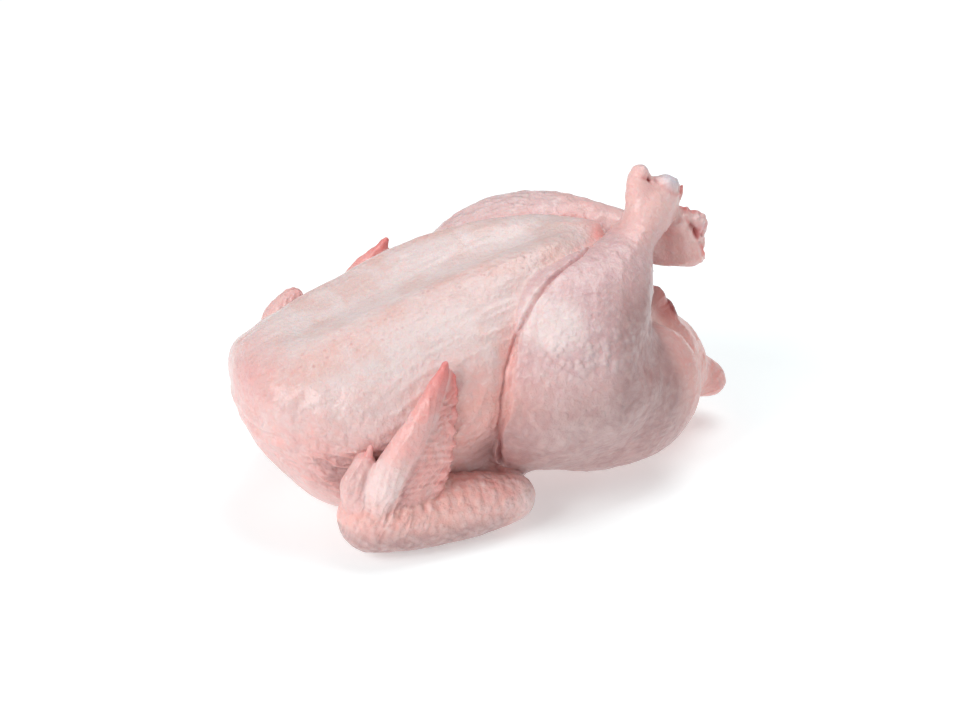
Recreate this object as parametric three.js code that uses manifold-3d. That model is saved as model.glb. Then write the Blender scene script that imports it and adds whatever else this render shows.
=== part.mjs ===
// A whole raw chicken, plucked and dressed, lying on its back on a board: breast up, drumsticks drawn up
// with the hocks over the tail, both wings folded beside the body with their tips pointing up.
// Millimetres. +X runs from the neck to the tail, +Z is up through the breast, -Y is the bird's right side.
// Flesh and skin are one piece, so the body, the legs, the wings and the tail are lofted one by one and
// joined into one solid, and whatever would sink below the board is cut off flat.

import * as THREE from 'three';
import { mergeVertices } from 'three/addons/utils/BufferGeometryUtils.js';
import Module from 'manifold-3d';

// Driving dimensions
const neckX = -139;             // front of the breast, where the neck skin closes
const tailX = 134;              // back of the rump, above the tail
const breastHeight = 135;       // from the board to the crest of the breast
const shoulderHalfWidth = 76;   // half of the body's greatest width, at the wings
const sunkBelowBoard = 4;       // the soft back is drawn this far below the board and then cut flat
const ankleRadius = 11.5;       // the thinnest part of a drumstick, below the hock
const hockRadius = 8;           // one knuckle of a hock
const wingBoneRadius = 8;       // the wing tip's bony leading edge
const webThickness = 5;         // half the thickness of the wing tip's web, at its root
const ventHalfWidth = 19;       // the opening above the tail
const ventHalfHeight = 12;
const squareness = 2.15;        // power of the upper half of the body's rings; 2 is a plain ellipse
const swellAt = 0.4;            // the breast muscles' crests, as shares of the half width
const swellWidth = 0.2;         // width of each swell and of the valley between them
const drawnIn = 0.22;           // how far the flanks draw in towards the back
const limbBunching = 0.35;      // how much the rings crowd towards a limb's ends, and the body's
const bodyBunching = 0.6;
const tangentStep = 1e-3;       // share of a curve between the points that give its direction
const weldDistance = 1e-4;      // corners nearer than this are one

const wasm = await Module();
wasm.setup();

const up = new THREE.Vector3(0, 0, 1);        // the side of a level limb is then across it
const across = new THREE.Vector3(0, 1, 0);    // for the wing tips, whose blades stand in the XZ plane
const lengthwise = new THREE.Vector3(1, 0, 0);  // for the raised leg

// A smooth curve through rows of numbers. The first three of a row are its place, and the rest are
// carried along with it. Each stretch is a cubic whose end slopes come from the rows on both sides.
function curveThrough(rows) {
  const knots = [0];
  for (let i = 1; i < rows.length; i++) {
    const [a, b] = [rows[i - 1], rows[i]];
    knots.push(knots[i - 1] + Math.hypot(b[0] - a[0], b[1] - a[1], b[2] - a[2]));
  }
  const slope = (i) => rows[i].map((value, k) => (rows[i + 1][k] - value) / (knots[i + 1] - knots[i]));
  const slopes = rows.map((row, i) => {
    if (i === 0) return slope(0);
    if (i === rows.length - 1) return slope(i - 1);
    const before = knots[i] - knots[i - 1];
    const after = knots[i + 1] - knots[i];
    const [s, e] = [slope(i - 1), slope(i)];
    return row.map((_, k) => (e[k] * before + s[k] * after) / (before + after));
  });
  const length = knots.at(-1);
  const at = (share) => {
    const s = THREE.MathUtils.clamp(share, 0, 1) * length;
    let i = 0;
    while (i < rows.length - 2 && s >= knots[i + 1]) i++;
    const h = knots[i + 1] - knots[i];
    const t = (s - knots[i]) / h;
    const [t2, t3] = [t * t, t * t * t];
    return rows[i].map((value, k) => (2 * t3 - 3 * t2 + 1) * value + (t3 - 2 * t2 + t) * h * slopes[i][k]
      + (3 * t2 - 2 * t3) * rows[i + 1][k] + (t3 - t2) * h * slopes[i + 1][k]);
  };
  return { at, length };
}

// Rings of points become a solid: neighbouring rings are joined by triangles, a ring shrunk to a point
// closes its end, and the faces are turned outwards.
function solidFromRings(rings) {
  const sides = rings[0].length;
  const positions = rings.flat(2);
  const index = [];
  for (let i = 0; i < rings.length - 1; i++) {
    for (let j = 0; j < sides; j++) {
      const next = (j + 1) % sides;
      const [a, b] = [i * sides + j, i * sides + next];
      const [c, d] = [(i + 1) * sides + next, (i + 1) * sides + j];
      index.push(a, b, c, a, c, d);
    }
  }
  const geometry = new THREE.BufferGeometry();
  geometry.setAttribute('position', new THREE.Float32BufferAttribute(positions, 3));
  geometry.setIndex(index);
  return solidFromGeometry(geometry);
}

function solidFromGeometry(geometry) {
  geometry.deleteAttribute('normal');
  geometry.deleteAttribute('uv');
  const merged = mergeVertices(geometry, weldDistance);
  const corners = merged.index.array;
  let kept = [];
  for (let i = 0; i < corners.length; i += 3) {
    const [a, b, c] = [corners[i], corners[i + 1], corners[i + 2]];
    if (a !== b && b !== c && c !== a) kept.push(a, b, c);
  }
  const place = merged.attributes.position;
  const [p, q, r] = [new THREE.Vector3(), new THREE.Vector3(), new THREE.Vector3()];
  let volume = 0;
  for (let i = 0; i < kept.length; i += 3) {
    p.fromBufferAttribute(place, kept[i]);
    q.fromBufferAttribute(place, kept[i + 1]);
    r.fromBufferAttribute(place, kept[i + 2]);
    volume += p.dot(q.cross(r));
  }
  if (volume < 0) kept = kept.reverse();
  const mesh = new wasm.Mesh({ numProp: 3, vertProperties: place.array, triVerts: new Uint32Array(kept) });
  return new wasm.Manifold(mesh);
}

// Rings are spread along a curve from 0 to 1, the closer together near its ends the more they bunch.
function ringShare(i, rings, bunching) {
  const even = i / (rings - 1);
  return (1 - bunching) * even + bunching * (1 - Math.cos(Math.PI * even)) / 2;
}

// A fleshy limb: elliptical rings along a curve, closed by a round cap at each end.
// A station is [x, y, z, half width, half height]; the width lies along tangent x sideOf.
function limb(stations, sideOf, { rings = 14, sides = 18, capStart, capEnd } = {}) {
  const curve = curveThrough(stations);
  const meanRadius = (station) => (station[3] + station[4]) / 2;
  const startCap = (capStart ?? meanRadius(stations[0])) / curve.length;
  const endCap = (capEnd ?? meanRadius(stations.at(-1))) / curve.length;
  const result = [];
  for (let i = 0; i < rings; i++) {
    const share = ringShare(i, rings, limbBunching);
    const row = curve.at(share);
    const ahead = new THREE.Vector3(...curve.at(share + tangentStep));
    const tangent = ahead.sub(new THREE.Vector3(...curve.at(share - tangentStep))).normalize();
    const side = new THREE.Vector3().crossVectors(tangent, sideOf).normalize();
    const rise = new THREE.Vector3().crossVectors(side, tangent);
    let cap = 1;
    if (share < startCap) cap = Math.sqrt(Math.max(1 - (1 - share / startCap) ** 2, 0));
    if (share > 1 - endCap) cap = Math.sqrt(Math.max(1 - (1 - (1 - share) / endCap) ** 2, 0));
    const ring = [];
    for (let j = 0; j < sides; j++) {
      const turn = 2 * Math.PI * j / sides;
      const point = new THREE.Vector3(row[0], row[1], row[2])
        .addScaledVector(side, row[3] * cap * Math.sin(turn))
        .addScaledVector(rise, row[4] * cap * Math.cos(turn));
      ring.push(point.toArray());
    }
    result.push(ring);
  }
  return solidFromRings(result);
}

// A knuckle: an ellipsoid of the given half sizes, turned about Y.
function knuckle(centre, halfSizes, turned = 0) {
  const ball = new THREE.SphereGeometry(1, 12, 8);
  ball.scale(...halfSizes);
  ball.rotateY(turned);
  ball.translate(...centre);
  return solidFromGeometry(ball);
}

// The body. A station is [x, crest, underside, half width, height of the widest level, how far the two
// breast muscles swell, depth of the valley over the keel, squareness of the lower half].
const backZ = -sunkBelowBoard;
const [crest, wide] = [breastHeight, shoulderHalfWidth];
const torsoStations = [
  [neckX, 80, 66, 8, 74, 0, 0, 2.2],
  [-134, 90, 50, 27, 72, 0, 0, 2.2],
  [-120, 98, 27, 46, 68, 1, 1, 2.4],
  [-100, 104, 6, 60, 66, 3, 3, 2.5],
  [-73, 112, -2, wide - 6, 68, 4, 5, 2.4],
  [-40, 122, backZ, wide, 70, 5, 6, 2.0],
  [-15, 129, backZ, wide - 2, 71, 5, 7, 1.75],
  [10, crest - 2, backZ, wide - 9, 70, 5, 7, 1.7],
  [35, crest, backZ, 58, 68, 4, 6, 1.8],
  [58, crest - 2, backZ, 50, 62, 2, 3, 2.0],
  [74, 124, backZ, 46, 52, 1, 0, 2.1],
  [86, 96, -3, 45, 46, 0, 0, 2.1],
  [104, 78, 1, 42, 42, 0, 0, 2.1],
  [120, 68, 12, 32, 41, 0, 0, 2.1],
  [131, 56, 23, 20, 38, 0, 0, 2.1],
  [tailX, 46, 30, 10, 37, 0, 0, 2.1],
];

// Each ring is a superellipse that is squarer below than above. The breast muscles are two swells with
// the keel's valley between them, and the flanks draw in towards the back.
function torso(rings = 38, sides = 36) {
  const curve = curveThrough(torsoStations.map(([x, ...sizes]) => [x, 0, 0, ...sizes]));
  const result = [];
  for (let i = 0; i < rings; i++) {
    const share = ringShare(i, rings, bodyBunching);
    const [x, , , top, bottom, half, level, swell, valley, below] = curve.at(share);
    const open = i === 0 || i === rings - 1 ? 0 : 1;
    const ring = [];
    for (let j = 0; j < sides; j++) {
      const turn = 2 * Math.PI * j / sides;
      const power = 2 / (Math.cos(turn) > 0 ? squareness : below);
      const ys = Math.sign(Math.sin(turn)) * Math.abs(Math.sin(turn)) ** power;
      const zs = Math.sign(Math.cos(turn)) * Math.abs(Math.cos(turn)) ** power;
      const reach = zs > 0 ? top - level : level - bottom;
      const relief = swell * Math.exp(-(((Math.abs(ys) - swellAt) / swellWidth) ** 2))
        - valley * Math.exp(-((ys / swellWidth) ** 2));
      const y = half * ys * (1 - drawnIn * Math.max(-zs, 0));
      ring.push([x, y * open, level + (reach * zs + Math.max(zs, 0) * relief) * open]);
    }
    result.push(ring);
  }
  return solidFromRings(result);
}

// The neck skin, folded under itself across the front, and the pink tip of the keel.
function neckSkin() {
  return limb([[-112, -36, 52, 6, 8], [-124, -16, 54, 6, 10], [-126, 4, 54, 6, 10], [-119, 26, 53, 6, 9]],
    up, { rings: 10, sides: 12 });
}

function keelTip() {
  return limb([[30, 0, 126, 14, 8], [54, 0, 128, 12, 8], [73, 0, 126, 8, 8]], up, { rings: 10, sides: 14 });
}

// The right leg, nearest the front of the board: the thigh and calf under one skin, drawn up beside the
// rump, then the ankle, and the hock's two knuckles with a point of torn skin.
function rightLeg() {
  const thin = ankleRadius;
  const calf = limb([
    [36, -24, 22, 13, 28], [32, -34, 32, 17, 40], [27, -47, 48, 32, 53], [24, -54, 66, 37, 54],
    [29, -51, 86, 33, 46], [46, -43, 102, 28, 36], [64.6, -31.6, 116.6, 20, 19.5], [81.6, -22, 131.4, thin, thin - 0.5],
    [90.2, -17.3, 140.6, thin - 0.5, thin + 3], [93.4, -14, 149, thin - 1, thin + 5.5], [95, -13, 155, thin - 2, thin + 3],
  ], lengthwise, { rings: 26, sides: 26, capStart: 8, capEnd: 7 });
  const thigh = limb([[-2, -50, 50, 22, 24], [38, -50, 47, 30, 33], [76, -43, 50, 30, 35], [94, -36, 55, 23, 29],
    [103, -31, 56, 14, 21]], up, { rings: 15, sides: 20 });
  const hock = [
    knuckle([84.5, -14, 157], [hockRadius - 1, hockRadius, hockRadius + 1], 0.2),
    knuckle([102, -14, 150.5], [hockRadius, hockRadius + 0.5, hockRadius - 0.5], 0.5),
    knuckle([109, -13, 144], [4.5, 3, 2.5], -0.9),
  ];
  return [calf, thigh, ...hock];
}

// The left leg: its drumstick arches over the body and ends in a cut hock behind the right one.
function leftLeg() {
  const thin = ankleRadius;
  const drumstick = limb([
    [-2, 60, 66, 26, 26], [14, 63, 88, 27, 27], [38, 58, 106, 25, 25], [62, 50, 111, 23, 23], [88, 28, 112, 17, 17],
    [105, 9, 112, thin + 0.5, thin + 1.5], [118, -4, 113, thin + 1, thin + 2.5], [128, -13, 114, thin + 1.5, thin + 4],
  ], up, { rings: 24, sides: 22, capEnd: 5 });
  const thigh = limb([[0, 50, 50, 24, 26], [40, 48, 46, 34, 38], [80, 42, 46, 32, 36], [100, 34, 46, 24, 28]],
    up, { rings: 14, sides: 20 });
  const hock = [
    knuckle([118, -11, 126], [hockRadius + 2, hockRadius + 2, hockRadius + 2], 0.3),
    knuckle([122, -11, 110], [hockRadius - 1, hockRadius + 5, hockRadius + 1]),
  ];
  return [drumstick, thigh, ...hock];
}

// The hips, which spread on the board, the rump's fat behind the right thigh, and the tail.
function hipsAndTail() {
  return [
    limb([[-8, 4, 15, 26, 16], [26, 3, 15, 38, 17], [80, 0, 15, 44, 17], [110, 0, 18, 34, 16]], up,
      { rings: 14, sides: 20 }),
    limb([[85, -16, 46, 24, 30], [108, -16, 44, 24, 30], [120, -14, 40, 16, 24]], up, { rings: 10, sides: 18 }),
    limb([[122, 0, 35, 18, 17], [139, -2, 26.5, 16, 12], [153, -4, 20.5, 10, 8.5]], up, { rings: 12, sides: 14 }),
  ];
}

// A folded wing: the upper arm along the body, the forearm back beside it on the board, the wing tip
// standing up against the body with its thin web behind the bone, and the thumb beside the wrist.
function wing({ arm, forearm, bone, web, thumb }) {
  return [
    limb(arm, up, { rings: 10, sides: 14 }),
    limb(forearm, up, { rings: 18, sides: 18 }),
    limb(bone, across, { rings: 14, sides: 12 }),
    limb(web, across, { rings: 14, sides: 12 }),
    limb(thumb, across, { rings: 9, sides: 10 }),
  ];
}

const boneEnd = wingBoneRadius - 5.5;
const rightWing = {
  arm: [[-88, -42, 34, 18, 18], [-50, -48, 26, 17, 17], [-6, -62, 18, 11, 11]],
  forearm: [[-109, -62, 22, 13, 15], [-92, -63, 21, 18, 18], [-50, -68, 19, 17, 18], [-20, -70, 18, 13, 14],
    [-4, -71, 18, 9, 10]],
  bone: [[-92, -67, 20, 9, 9], [-86, -75, 51, wingBoneRadius, wingBoneRadius], [-73, -77, 72, 6.5, 6.5],
    [-52, -71, 104, boneEnd, boneEnd]],
  web: [[-82, -71, 22, 12, webThickness + 1], [-75, -77, 47, 19, webThickness], [-67, -77, 67, 16, webThickness - 1],
    [-57, -73, 88, 9, 2.5], [-53, -70, 100, 4, 2]],
  thumb: [[-97, -64, 26, 9, 9], [-100, -65, 42, 7.5, 7.5], [-92, -65, 58, 4.5, 4.5]],
};
const leftWing = {
  arm: [[-80, 46, 40, 18, 18], [-42, 52, 32, 17, 17], [0, 64, 24, 11, 11]],
  forearm: [[-96, 64, 42, 13, 15], [-78, 68, 36, 18, 18], [-38, 72, 26, 17, 17], [-10, 72, 21, 13, 14],
    [4, 72, 20, 9, 10]],
  bone: [[-80, 70, 42, 9, 9], [-66, 78, 64, wingBoneRadius, wingBoneRadius], [-48, 78, 86, 6, 6],
    [-24, 71, 114, boneEnd, boneEnd]],
  web: [[-66, 72, 36, 12, webThickness + 1], [-54, 78, 58, 17, webThickness], [-42, 77, 76, 14, webThickness - 1],
    [-29, 72, 101, 7, 2], [-26, 70, 109, 3, 2]],
  thumb: [[-92, 68, 52, 9, 9], [-92, 73, 74, 8, 8], [-77, 74, 90, 5.5, 5.5]],
};

// The opening above the tail, a short way in, as a solid to be cut out.
function ventHollow() {
  return limb([[88, 3, 74, ventHalfWidth - 5, ventHalfHeight - 2], [106, 3, 78, ventHalfWidth, ventHalfHeight],
    [130, 3, 88, ventHalfWidth + 3, ventHalfHeight + 2]], up, { rings: 12, sides: 18 });
}

// Everything below the board, as a block to be cut off that reaches past the bird on all sides.
function belowBoard() {
  const [length, width, depth] = [4 * tailX, 6 * shoulderHalfWidth, 10 * sunkBelowBoard];
  const block = new THREE.BoxGeometry(length, width, depth);
  block.translate(0, 0, -depth / 2);
  return solidFromGeometry(block);
}

function chickenGeometry() {
  let solid = torso();
  for (const piece of [neckSkin(), ...hipsAndTail()]) solid = solid.add(piece);
  solid = solid.subtract(ventHollow());
  for (const piece of [keelTip(), ...rightLeg(), ...leftLeg(), ...wing(rightWing), ...wing(leftWing)]) {
    solid = solid.add(piece);
  }
  const mesh = solid.subtract(belowBoard()).getMesh();
  const geometry = new THREE.BufferGeometry();
  geometry.setAttribute('position', new THREE.Float32BufferAttribute(mesh.vertProperties, 3));
  geometry.setIndex(Array.from(mesh.triVerts));
  geometry.computeBoundingBox();
  const { min, max } = geometry.boundingBox;
  geometry.translate(-(min.x + max.x) / 2, -(min.y + max.y) / 2, -min.z);
  geometry.computeVertexNormals();
  return geometry;
}

const skin = new THREE.MeshStandardMaterial({ color: 0xe6c0b8, roughness: 0.45, metalness: 0 });
const chicken = new THREE.Mesh(chickenGeometry(), skin);
chicken.name = 'whole_chicken';

const model = new THREE.Group();
model.add(chicken);

export default model;
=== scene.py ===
# A whole raw chicken on its back: skin, wings and hocks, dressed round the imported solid.
import bpy
import math
import numpy as np
from mathutils import Matrix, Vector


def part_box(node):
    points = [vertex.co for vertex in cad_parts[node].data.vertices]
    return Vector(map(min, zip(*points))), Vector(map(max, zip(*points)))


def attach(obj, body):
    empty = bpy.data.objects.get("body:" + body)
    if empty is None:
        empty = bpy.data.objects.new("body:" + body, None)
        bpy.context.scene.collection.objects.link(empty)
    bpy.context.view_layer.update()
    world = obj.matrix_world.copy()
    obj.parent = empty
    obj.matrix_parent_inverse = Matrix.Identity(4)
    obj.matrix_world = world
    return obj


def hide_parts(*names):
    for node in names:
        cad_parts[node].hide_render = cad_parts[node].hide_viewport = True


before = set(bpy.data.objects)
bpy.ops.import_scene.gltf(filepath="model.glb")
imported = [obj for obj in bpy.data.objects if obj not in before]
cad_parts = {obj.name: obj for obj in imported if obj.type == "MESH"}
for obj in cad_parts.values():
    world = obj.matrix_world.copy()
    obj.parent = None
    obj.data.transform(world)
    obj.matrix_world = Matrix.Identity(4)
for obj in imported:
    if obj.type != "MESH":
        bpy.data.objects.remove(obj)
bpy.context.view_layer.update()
solidNode = "whole_chicken"
body = "root"
millimetre = 0.001

# Forms. Everything here is in millimetres in the bird's own frame: +X runs from the neck to the tail,
# -Y is the bird's right side and +Z goes up through the breast from the board.

upward = (0, 0, 1)
across = (0, 1, 0)
lengthwise = (1, 0, 0)


def unit(vectors):
    return vectors / np.maximum(np.linalg.norm(vectors, axis=-1, keepdims=True), 1e-9)


def soft(value):
    # Smooth step: 0 below 0, 1 above 1, and 3v^2 - 2v^3 in between.
    v = np.clip(value, 0, 1)
    return v * v * (3 - 2 * v)


def rise(values, start, over):
    # 0 up to the start, 1 from start + over on, smooth between.
    return soft((values - start) / over)


def fall(values, start, over):
    # 1 up to start - over, 0 from the start on, smooth between.
    return soft((start - values) / over)


def bell(distance, width):
    # exp(-(distance / width)^2)
    return np.exp(-((distance / width) ** 2))


def blob(points, centre, reach):
    # Bell-shaped patch: exp(-(distance / reach)^2), with one reach for all axes or one for each.
    return np.exp(-(((points - centre) / reach) ** 2).sum(-1))


def curveThrough(rows):
    # A cubic through each pair of rows, its end slopes averaged from the stretches on both sides.
    rows = np.asarray(rows, float)
    gaps = np.linalg.norm(np.diff(rows[:, :3], axis=0), axis=1)
    knots = np.concatenate([[0.0], np.cumsum(gaps)])
    steps = np.diff(rows, axis=0) / gaps[:, None]
    slopes = np.concatenate([steps[:1], np.zeros_like(rows[2:]), steps[-1:]])
    weighed = steps[1:] * gaps[:-1, None] + steps[:-1] * gaps[1:, None]
    slopes[1:-1] = weighed / (gaps[1:] + gaps[:-1])[:, None]

    def at(share):
        s = np.clip(share, 0, 1) * knots[-1]
        i = np.clip(np.searchsorted(knots, s, side="right") - 1, 0, len(knots) - 2)
        h = gaps[i][:, None]
        t = ((s - knots[i]) / gaps[i])[:, None]
        return ((2 * t**3 - 3 * t**2 + 1) * rows[i] + (t**3 - 2 * t**2 + t) * h * slopes[i]
                + (3 * t**2 - 2 * t**3) * rows[i + 1] + (t**3 - t**2) * h * slopes[i + 1])

    return at, knots[-1]


def limbRings(limb, share):
    # At each share of the limb's path: its row, the cap's shrinking factor, and the ring's own axes.
    at, length = curveThrough(limb["path"])
    rows = at(share)
    tangent = unit(at(share + 1e-3)[:, :3] - at(share - 1e-3)[:, :3])
    side = unit(np.cross(tangent, np.asarray(limb["up"], float)))
    top = np.cross(side, tangent)
    first, last = rows[0], rows[-1]
    capStart = limb.get("capStart", (first[3] + first[4]) / 2) / length
    capEnd = limb.get("capEnd", (last[3] + last[4]) / 2) / length
    cap = np.minimum(share / capStart, 1)
    cap = np.sqrt(1 - (1 - cap) ** 2)
    endCap = np.minimum((1 - share) / capEnd, 1)
    cap = cap * np.sqrt(1 - (1 - endCap) ** 2)
    return rows, cap, tangent, side, top


def loftLimb(limb, rings=70, sides=56):
    # Elliptical rings along the path: centre + side * width * sin(turn) + top * height * cos(turn).
    even = np.linspace(0, 1, rings)
    share = 0.65 * even + 0.35 * (1 - np.cos(math.pi * even)) / 2
    rows, cap, _, side, top = limbRings(limb, share)
    turn = np.linspace(0, 2 * math.pi, sides, endpoint=False)
    return (rows[:, None, :3]
            + (rows[:, 3] * cap)[:, None, None] * np.sin(turn)[None, :, None] * side[:, None]
            + (rows[:, 4] * cap)[:, None, None] * np.cos(turn)[None, :, None] * top[:, None])


def loftBall(centre, halfSizes, turned=0.0, rings=24, sides=28):
    # An ellipsoid turned about Y: latitude rings from pole to pole.
    latitude = np.linspace(0, math.pi, rings)[:, None]
    turn = np.linspace(0, 2 * math.pi, sides, endpoint=False)[None]
    ball = [np.sin(latitude) * np.cos(turn), np.cos(latitude) + 0 * turn, np.sin(latitude) * np.sin(turn)]
    ball = np.stack(ball, -1) * halfSizes
    x = ball[..., 0] * math.cos(turned) + ball[..., 2] * math.sin(turned)
    z = ball[..., 2] * math.cos(turned) - ball[..., 0] * math.sin(turned)
    return np.stack([x, ball[..., 1], z], -1) + centre


def limbPlace(points, limb, samples=100):
    # Where each point lies on a limb: share of its path, offsets along side and top, each over the ring's
    # own half size there, and the rough signed distance to its surface in millimetres.
    share = np.linspace(0.004, 0.996, samples)
    rows, cap, tangent, side, top = limbRings(limb, share)
    centres = rows[:, :3]
    apart = (centres**2).sum(1)[None] - 2 * points @ centres.T
    nearest = apart.argmin(1)
    offset = points - centres[nearest]
    width = np.maximum(rows[:, 3] * cap, 1.0)[nearest]
    height = np.maximum(rows[:, 4] * cap, 1.0)[nearest]
    u = (offset * side[nearest]).sum(1) / width
    v = (offset * top[nearest]).sum(1) / height
    past = np.maximum(np.abs((offset * tangent[nearest]).sum(1)) - 3, 0) / width
    radius = np.sqrt(u * u + v * v + past * past)
    distance = np.linalg.norm(offset, axis=1) * (1 - 1 / np.maximum(radius, 0.05))
    return share[nearest], u, v, distance


def cellNoise(points, size, seed):
    # Random heights from -1 to 1 at the corners of a lattice of the given size, blended smoothly between.
    place = points / size + 31.7 * seed
    corner = np.floor(place).astype(np.int64)
    blend = place - corner
    blend = blend * blend * (3 - 2 * blend)
    total = np.zeros(len(points))
    for step in np.ndindex(2, 2, 2):
        cell = corner + step
        mixed = (cell[:, 0] * 73856093) ^ (cell[:, 1] * 19349663) ^ (cell[:, 2] * 83492791)
        mixed = ((mixed ^ (mixed >> 13)) * 1274126177) & 0xFFFFFFFF
        height = ((mixed ^ (mixed >> 16)) & 0xFFFF) / 32767.5 - 1
        total += np.prod(np.where(np.array(step, bool), blend, 1 - blend), axis=1) * height
    return total


def ridges(points, run, spacing, seed):
    # Folds that run along one direction: noise squeezed across the run and drawn out along it, folded
    # about its middle so that crests are sharp and valleys wide, from 0 to 1.
    along = np.asarray(run, float) / np.linalg.norm(run)
    drawn = points - 0.84 * (points @ along)[:, None] * along
    return (1 - np.abs(cellNoise(drawn, spacing, seed))) ** 2


# Meshes

def meshArrays(grids):
    # Rings of points joined by quads, one closed tube after another.
    points = []
    quads = []
    start = 0
    for grid in grids:
        rings, sides = grid.shape[:2]
        i, j = np.meshgrid(np.arange(rings - 1), np.arange(sides), indexing="ij")
        k = (j + 1) % sides
        corners = [i * sides + j, i * sides + k, (i + 1) * sides + k, (i + 1) * sides + j]
        quads.append(start + np.stack(corners, -1).reshape(-1, 4))
        points.append(grid.reshape(-1, 3))
        start += rings * sides
    return np.concatenate(points), np.concatenate(quads)


def rawObject(name, points, faces):
    mesh = bpy.data.meshes.new(name)
    mesh.from_pydata(points.tolist(), [], faces.tolist())
    mesh.update()
    obj = bpy.data.objects.new(name, mesh)
    bpy.context.scene.collection.objects.link(obj)
    return obj


def takeArrays(obj):
    # The object's shape with its modifiers, as points and quads or triangles; the object is removed.
    graph = bpy.context.evaluated_depsgraph_get()
    mesh = obj.evaluated_get(graph).to_mesh()
    points = np.empty(len(mesh.vertices) * 3)
    mesh.vertices.foreach_get("co", points)
    sides = np.empty(len(mesh.polygons), np.int32)
    mesh.polygons.foreach_get("loop_total", sides)
    corners = np.empty(len(mesh.loops), np.int32)
    mesh.loops.foreach_get("vertex_index", corners)
    if (sides == 4).all():
        faces = corners.reshape(-1, 4)
    else:
        mesh.calc_loop_triangles()
        corners = np.empty(len(mesh.loop_triangles) * 3, np.int32)
        mesh.loop_triangles.foreach_get("vertices", corners)
        faces = corners.reshape(-1, 3)
    obj.to_mesh_clear()
    old = obj.data
    bpy.data.objects.remove(obj)
    bpy.data.meshes.remove(old)
    return points.reshape(-1, 3), faces


def fuse(points, faces, voxel, cutter=None):
    # One skin over everything given: closed tubes that pass through each other are joined by voxels.
    obj = rawObject("fusing", points, faces)

    def addVoxels(name):
        remesh = obj.modifiers.new(name, "REMESH")
        remesh.mode = "VOXEL"
        remesh.voxel_size = voxel

    addVoxels("voxels")
    tool = None
    if cutter is not None:
        tool = rawObject("cutting", *meshArrays([cutter]))
        boolean = obj.modifiers.new("opening", "BOOLEAN")
        boolean.operation = "DIFFERENCE"
        boolean.solver = "EXACT"
        boolean.object = tool
        addVoxels("again")
    points, faces = takeArrays(obj)
    if tool:
        toolMesh = tool.data
        bpy.data.objects.remove(tool)
        bpy.data.meshes.remove(toolMesh)
    return points, faces


def asTriangles(faces):
    return faces if faces.shape[1] == 3 else np.concatenate([faces[:, [0, 1, 2]], faces[:, [0, 2, 3]]])


def refine(points, faces, wanted):
    # Splits a triangle whose corners are all wanted into four, and one with two wanted corners into two.
    total = len(points)
    a, b = edgesOf(faces)
    split = wanted[a] & wanted[b]
    a, b = a[split], b[split]
    keys = a * total + b

    def middle(p, q):
        return total + np.searchsorted(keys, np.minimum(p, q) * total + np.maximum(p, q))

    faces = faces.astype(np.int64)
    count = wanted[faces].sum(1)
    i, j, k = faces[count == 3].T
    ij, jk, ki = middle(i, j), middle(j, k), middle(k, i)
    pair = faces[count == 2]
    turn = (~wanted[pair]).argmax(1)[:, None] + [[0, 1, 2]]
    o, p, q = np.take_along_axis(pair, turn % 3, 1).T
    pq = middle(p, q)
    pieces = [(i, ij, ki), (ij, j, jk), (ki, jk, k), (ij, jk, ki), (o, p, pq), (o, pq, q)]
    faces = np.concatenate([faces[count < 2]] + [np.stack(piece, 1) for piece in pieces])
    return np.concatenate([points, (points[a] + points[b]) / 2]), faces


def distanceTo(points, line):
    # Distance from each point to the nearest point of a line of points, a batch of points at a time.
    squared = [((part**2).sum(1)[:, None] + (line**2).sum(1) - 2 * part @ line.T).min(1)
               for part in np.array_split(points, 24)]
    return np.sqrt(np.maximum(np.concatenate(squared), 0))


def betweenPoints(corners, count=60):
    # Evenly spaced points along a broken line.
    corners = np.asarray(corners, float)
    along = np.linspace(0, len(corners) - 1, count)
    return np.stack([np.interp(along, np.arange(len(corners)), column) for column in corners.T], 1)


def edgesOf(faces):
    # The two ends of every edge, each edge once.
    pairs = np.stack([faces, np.roll(faces, -1, axis=1)], -1).reshape(-1, 2)
    pairs.sort(axis=1)
    total = faces.max() + 1
    keys = np.unique(pairs[:, 0].astype(np.int64) * total + pairs[:, 1])
    return keys // total, keys % total


def relax(points, edges, weight, rounds):
    # Each round moves a point towards the mean of its neighbours by its own weight.
    a, b = edges
    count = np.bincount(a, minlength=len(points)) + np.bincount(b, minlength=len(points))
    weight = np.broadcast_to(weight, len(points))[:, None]
    for _ in range(rounds):
        total = np.stack([np.bincount(a, axis[b], len(points)) + np.bincount(b, axis[a], len(points))
                          for axis in points.T], 1)
        points = points + weight * (total / count[:, None] - points)
    return points


def normalsOf(points, faces):
    # Corner normals: the sum of the normals of the faces round each point.
    diagonal = np.cross(points[faces[:, 2]] - points[faces[:, 0]], points[faces[:, -1]] - points[faces[:, 1]])
    total = [np.bincount(faces.ravel(), np.repeat(part, faces.shape[1]), len(points)) for part in diagonal.T]
    return unit(np.stack(total, 1))


def finishedPiece(name, points, faces, material, marks):
    # Into the row frame in metres, with one number for each mark at each point.
    mesh = bpy.data.meshes.new(name)
    inside = np.clip(points + frameShift, cadLow, cadHigh)
    mesh.from_pydata((inside * millimetre).tolist(), [], faces.tolist())
    for mark, values in marks.items():
        layer = mesh.attributes.new(mark, "FLOAT", "POINT")
        layer.data.foreach_set("value", np.clip(values, 0, 1).astype(np.float32))
    mesh.shade_smooth()
    mesh.materials.append(material)
    mesh.update()
    obj = bpy.data.objects.new(name, mesh)
    bpy.context.scene.collection.objects.link(obj)
    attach(obj, body)
    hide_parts(solidNode)
    print(name, len(points), "points", len(faces) * (faces.shape[1] - 2), "triangles")


# The body

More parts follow.
